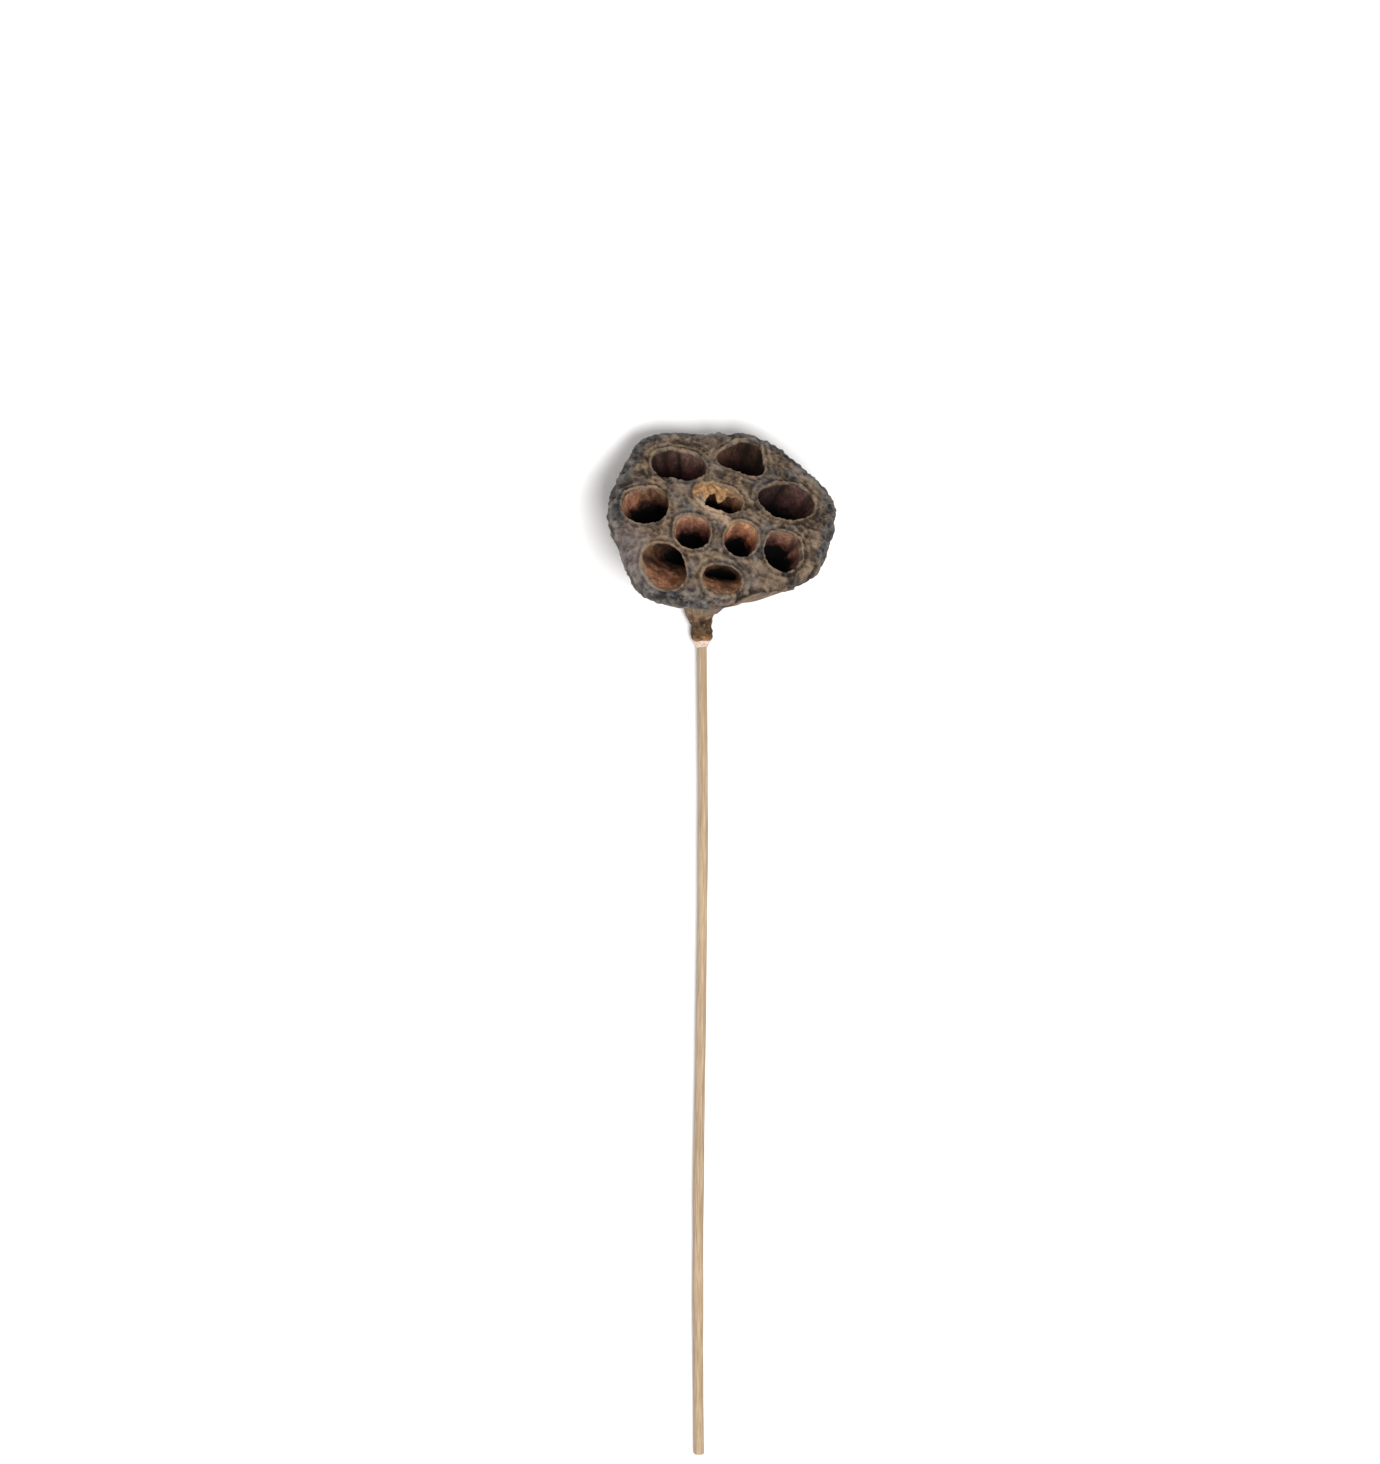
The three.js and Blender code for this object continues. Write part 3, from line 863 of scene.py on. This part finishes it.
def crust_color(look, place):
    """Grey-brown crumbly crust: browner in the middle of the face, blue-grey on the rim, with painted
    shade in the relief's hollows and painted light on its crests.
    """
    grain = look.noise(place, 0.8, detail=7, roughness=0.75, distortion=0.6)
    # Painted shade and painted light: the colour follows the relief's crest height, darker in the
    # hollows and paler on the crests, with random grain mixed in
    height = look.sum("MULTIPLY", look.sum("ADD", grain, look.mark("crest")), 0.5)
    brown = look.ramp(height, [
        (0.37, (0.03, 0.02, 0.013)),
        (0.45, (0.08, 0.053, 0.036)),
        (0.53, (0.158, 0.109, 0.073)),
        (0.63, (0.27, 0.192, 0.125)),
    ])
    grey = look.ramp(height, [
        (0.37, (0.02, 0.02, 0.022)),
        (0.45, (0.05, 0.048, 0.048)),
        (0.53, (0.092, 0.086, 0.083)),
        (0.63, (0.168, 0.152, 0.139)),
    ])
    patches = look.spread(look.noise(place, 0.1, detail=4), 0.46, 0.62, 0, 0.75)
    cold = look.sum("SUBTRACT", look.mark("rim"), look.mark("tan"))
    greyness = look.sum("ADD", look.spread(cold, 0.1, 0.9), patches)
    color = look.mix(look.sum("MINIMUM", greyness, 1.0), brown, grey)
    mauve = look.spread(look.noise(place, 0.11, detail=3), 0.5, 0.66, 0, 0.4)
    pale = look.sum("MAXIMUM", mauve, look.spread(look.mark("pale"), 0.1, 0.9, 0, 0.8))
    # The pale patches are also painted darker in the relief's hollows and paler on its crests
    faded = look.scaled((0.22, 0.172, 0.158), look.spread(height, 0.38, 0.62, 0.65, 1.2))
    color = look.mix(look.sum("MULTIPLY", pale, 0.7), color, faded)
    straw = look.spread(look.noise(place, 0.13, detail=4), 0.54, 0.68, 0, 0.4)
    straw = look.sum("MULTIPLY", straw, look.spread(look.mark("rim"), 0, 0.8, 1, 0))
    color = look.mix(straw, color, (0.26, 0.182, 0.115))
    color = look.mix(look.spread(look.mark("fold"), 0.1, 0.9), color, look.scaled(brown, 1.5))
    fibres = look.noise(place, 0.17, detail=2, roughness=0.5, distortion=0.7)
    fibres = look.sum("ABSOLUTE", look.sum("SUBTRACT", fibres, 0.5), 0.0)
    color = look.mix(look.spread(fibres, 0.0, 0.045, 0.22, 0), color, (0.32, 0.23, 0.145))
    pits = look.spread(look.noise(place, 1.3, detail=4), 0.33, 0.42, 0.5, 0)
    color = look.mix(pits, color, (0.045, 0.034, 0.028))
    return look.scaled(color, look.spread(look.mark("tan"), 0.3, 0.9, 1, 0.85))


def side_color(look, streak, place):
    """Tan fibrous side with darker streaks that run down to the neck."""
    fine = look.noise(streak, 1.4, detail=5, roughness=0.65)
    color = look.ramp(fine, [
        (0.32, (0.07, 0.045, 0.032)),
        (0.45, (0.19, 0.12, 0.073)),
        (0.56, (0.3, 0.2, 0.125)),
        (0.7, (0.43, 0.31, 0.205)),
    ])
    broad = look.spread(look.noise(streak, 0.33, detail=3), 0.45, 0.65, 0, 0.75)
    color = look.mix(broad, color, (0.18, 0.134, 0.107))
    stains = look.spread(look.noise(place, 0.09, detail=4), 0.55, 0.7, 0, 0.6)
    return look.mix(stains, color, (0.1, 0.065, 0.055))


def cell_color(look, place):
    """A cell's wall, from its mouth down into the depth, with painted shade that darkens it to near
    black.
    """
    depth = look.mark("depth")
    wavy = look.sum("ADD", depth, look.spread(look.noise(place, 0.3), 0.3, 0.7, -0.08, 0.08))
    # Both ramps darken with depth: painted shade that turns the wall near black deep in the cell
    warm = look.ramp(wavy, [
        (0.0, (0.28, 0.16, 0.092)),
        (0.22, (0.2, 0.095, 0.048)),
        (0.5, (0.1, 0.036, 0.019)),
        (0.8, (0.02, 0.008, 0.006)),
    ])
    mauve = look.ramp(wavy, [
        (0.0, (0.16, 0.092, 0.075)),
        (0.22, (0.108, 0.057, 0.049)),
        (0.5, (0.065, 0.025, 0.023)),
        (0.8, (0.018, 0.007, 0.007)),
    ])
    color = look.mix(look.mark("warm"), mauve, warm)
    streaks = look.spread(look.noise(place, 0.8, detail=5), 0.35, 0.65, 0.68, 1.15)
    tone = look.spread(look.noise(look.mark("wall", "Vector"), 0.24, detail=3), 0.36, 0.64, 0.6, 1.45)
    # Painted shade: past the cell's dark share of the depth, the wall is mixed down to black
    gloom = look.spread(look.sum("SUBTRACT", wavy, look.mark("dark")), -0.12, 0.12, 1, 0)
    # The light mark holds the wall's own tone with painted light, and painted shadow beside its folds
    shade = look.mark("light")
    for part in (streaks, tone, gloom):
        shade = look.sum("MULTIPLY", shade, part)
    return look.scaled(color, shade)


def neck_color(look, place):
    """Mauve-tan at the pod, a dark band, then the ring's brown with tan knobs."""
    grain = look.noise(place, 1.2, detail=6, roughness=0.7)
    along = look.sum("ADD", look.mark("neck"), look.spread(grain, 0.25, 0.75, -0.07, 0.07))
    base = look.ramp(along, [
        (0.3, (0.3, 0.195, 0.125)),
        (0.54, (0.24, 0.15, 0.092)),
        (0.64, (0.06, 0.028, 0.015)),
        (0.76, (0.15, 0.1, 0.055)),
        (0.86, (0.07, 0.037, 0.018)),
        (0.95, (0.26, 0.14, 0.06)),
    ])
    shade = look.spread(look.mark("crest"), 0.3, 0.62, 0.35, 1.25)
    base = look.scaled(base, shade)
    knobs = look.spread(look.noise(place, 0.6, detail=3), 0.52, 0.7, 0, 0.6)
    return look.mix(knobs, base, (0.3, 0.19, 0.1))


def pod_material():
    look = Look("lotus_pod")
    place = look.mark("place", "Vector")
    streak = look.mark("streak", "Vector")
    color = look.mix(look.mark("crust"), side_color(look, streak, place), crust_color(look, place))
    color = look.mix(look.mark("hollow"), color, cell_color(look, place))
    ragged = look.spread(look.noise(place, 0.35, detail=4), 0.4, 0.62, 0.12, 1)
    lip = look.sum("MULTIPLY", look.spread(look.mark("lip"), 0.35, 0.9, 0, 0.75), ragged)
    color = look.mix(lip, color, (0.3, 0.2, 0.12))
    skin = look.ramp(look.noise(place, 0.5, detail=4), [
        (0.35, (0.2, 0.09, 0.03)),
        (0.5, (0.36, 0.2, 0.085)),
        (0.65, (0.5, 0.31, 0.17)),
    ])
    color = look.mix(look.mark("skin"), color, skin)
    color = look.mix(look.spread(look.mark("neck"), 0.3, 0.45), color, neck_color(look, place))
    look.set("Base Color", color)
    look.set("Roughness", look.spread(look.noise(place, 0.4), 0.3, 0.7, 0.78, 0.97))
    look.set("Specular IOR Level", 0.15)
    coarse = look.noise(place, 0.9, detail=5, roughness=0.7)
    fine = look.noise(place, 2.8, detail=4, roughness=0.65)
    relief = look.bump(coarse, 0.75, 0.0012)
    look.set("Normal", look.bump(fine, 0.5, 0.0005, below=relief))
    return look.material


def reed_material():
    look = Look("reed")
    streak = look.mark("streak", "Vector")
    fine = look.noise(streak, 2.6, detail=5, roughness=0.65)
    color = look.ramp(fine, [
        (0.3, (0.24, 0.155, 0.088)),
        (0.45, (0.38, 0.265, 0.162)),
        (0.58, (0.48, 0.352, 0.225)),
        (0.72, (0.58, 0.45, 0.315)),
    ])
    stripes = look.spread(look.noise(streak, 0.7, detail=3), 0.5, 0.66, 0, 0.6)
    color = look.mix(stripes, color, (0.28, 0.185, 0.11))
    marks = look.spread(look.noise(streak, 4.5, detail=2), 0.68, 0.76, 0, 0.7)
    color = look.mix(marks, color, (0.2, 0.12, 0.065))
    pith = look.ramp(look.noise(streak, 9, detail=3), [
        (0.4, (0.35, 0.23, 0.13)),
        (0.6, (0.7, 0.56, 0.38)),
    ])
    color = look.mix(look.mark("cut"), color, pith)
    look.set("Base Color", color)
    look.set("Roughness", look.spread(fine, 0.3, 0.7, 0.5, 0.72))
    look.set("Specular IOR Level", 0.35)
    look.set("Normal", look.bump(fine, 0.35, 0.0004))
    return look.material


def glue_material():
    look = Look("hot_glue")
    place = look.tree.nodes.new("ShaderNodeTexCoord").outputs["Object"]
    cloud = look.noise(place, 900, detail=3)
    color = look.ramp(cloud, [
        (0.35, (0.5, 0.34, 0.26)),
        (0.55, (0.68, 0.54, 0.45)),
        (0.7, (0.8, 0.69, 0.6)),
    ])
    look.set("Base Color", color)
    look.set("Roughness", look.spread(cloud, 0.3, 0.7, 0.22, 0.4))
    look.set("Subsurface Weight", 0.3)
    look.set("Subsurface Radius", (1.0, 0.8, 0.7))
    look.set("Subsurface Scale", 0.001)
    look.set("Normal", look.bump(cloud, 0.25, 0.0003))
    return look.material


def floor_material():
    look = Look("pale_table")
    place = look.tree.nodes.new("ShaderNodeTexCoord").outputs["Object"]
    cloud = look.noise(place, 3, detail=3)
    look.set("Base Color", look.ramp(cloud, [(0.3, (0.84, 0.84, 0.84)), (0.7, (0.87, 0.87, 0.87))]))
    look.set("Roughness", look.spread(cloud, 0.3, 0.7, 0.75, 0.85))
    look.set("Normal", look.bump(look.noise(place, 400), 0.02, 0.0005))
    return look.material


# Studio: floor, lights and camera

def build_floor():
    reach = 4.0
    corners = [(-reach, -reach, 0), (reach, -reach, 0), (reach, reach, 0), (-reach, reach, 0)]
    floor = mesh_object("table", corners, [(0, 1, 2, 3)])
    floor.data.materials.append(floor_material())


def view_axes():
    """The picture's right, up and towards-the-camera directions in the part's frame."""
    across, up, out = (Vector(column) for column in POD_TURN.col)
    toward = math.cos(VIEW_LEAN) * out - math.sin(VIEW_LEAN) * up
    level = math.sin(VIEW_LEAN) * out + math.cos(VIEW_LEAN) * up
    right = math.cos(VIEW_ROLL) * across + math.sin(VIEW_ROLL) * level
    above = -math.sin(VIEW_ROLL) * across + math.cos(VIEW_ROLL) * level
    return right, above, toward


def aim(made, place, target, above):
    """Puts a camera or a light at a place, looking at a target, with above pointing up."""
    back = (place - target).normalized()
    side = above.cross(back).normalized()
    turn = Matrix((side, back.cross(side), back)).transposed()
    made.matrix_world = Matrix.Translation(place) @ turn.to_4x4()


def face_middle():
    return (POD_TURN @ FACE_MIDDLE + POD_BASE) * MM


def build_camera():
    right, above, toward = view_axes()
    middle = face_middle()
    target = middle + (right * VIEW_OFFSET[0] + above * VIEW_OFFSET[1]) * MM
    data = bpy.data.cameras.new("camera")
    data.lens = LENS
    camera = bpy.data.objects.new("camera", data)
    bpy.context.scene.collection.objects.link(camera)
    aim(camera, middle + toward * CAMERA_DISTANCE * MM, target, above)
    bpy.context.scene.camera = camera


def softbox(name, offset, size, power):
    """A square soft light; offset is its place right, up and towards the camera, in metres."""
    right, above, toward = view_axes()
    target = face_middle()
    data = bpy.data.lights.new(name, "AREA")
    data.size = size
    data.energy = power
    light = bpy.data.objects.new(name, data)
    bpy.context.scene.collection.objects.link(light)
    place = target + right * offset[0] + above * offset[1] + toward * offset[2]
    aim(light, place, target, above)


def build_lights():
    softbox("key", (0.35, -0.35, 1.5), 0.6, 26)
    softbox("fill", (-0.6, 0.9, 1.3), 1.0, 5)
    world = bpy.data.worlds.new("room")
    world.use_nodes = True
    background = world.node_tree.nodes["Background"]
    background.inputs["Color"].default_value = (1, 1, 1, 1)
    background.inputs["Strength"].default_value = 0.5
    bpy.context.scene.world = world


def add_piece(made, material, node):
    made.data.materials.append(material)
    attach(made, "root")
    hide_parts(node)


build_camera()
build_lights()
build_floor()
add_piece(build_pod(), pod_material(), "seed_pod")
add_piece(build_stem(), reed_material(), "stem")
add_piece(build_glue(), glue_material(), "glue_bead")
bpy.context.scene.view_settings.view_transform = "Standard"
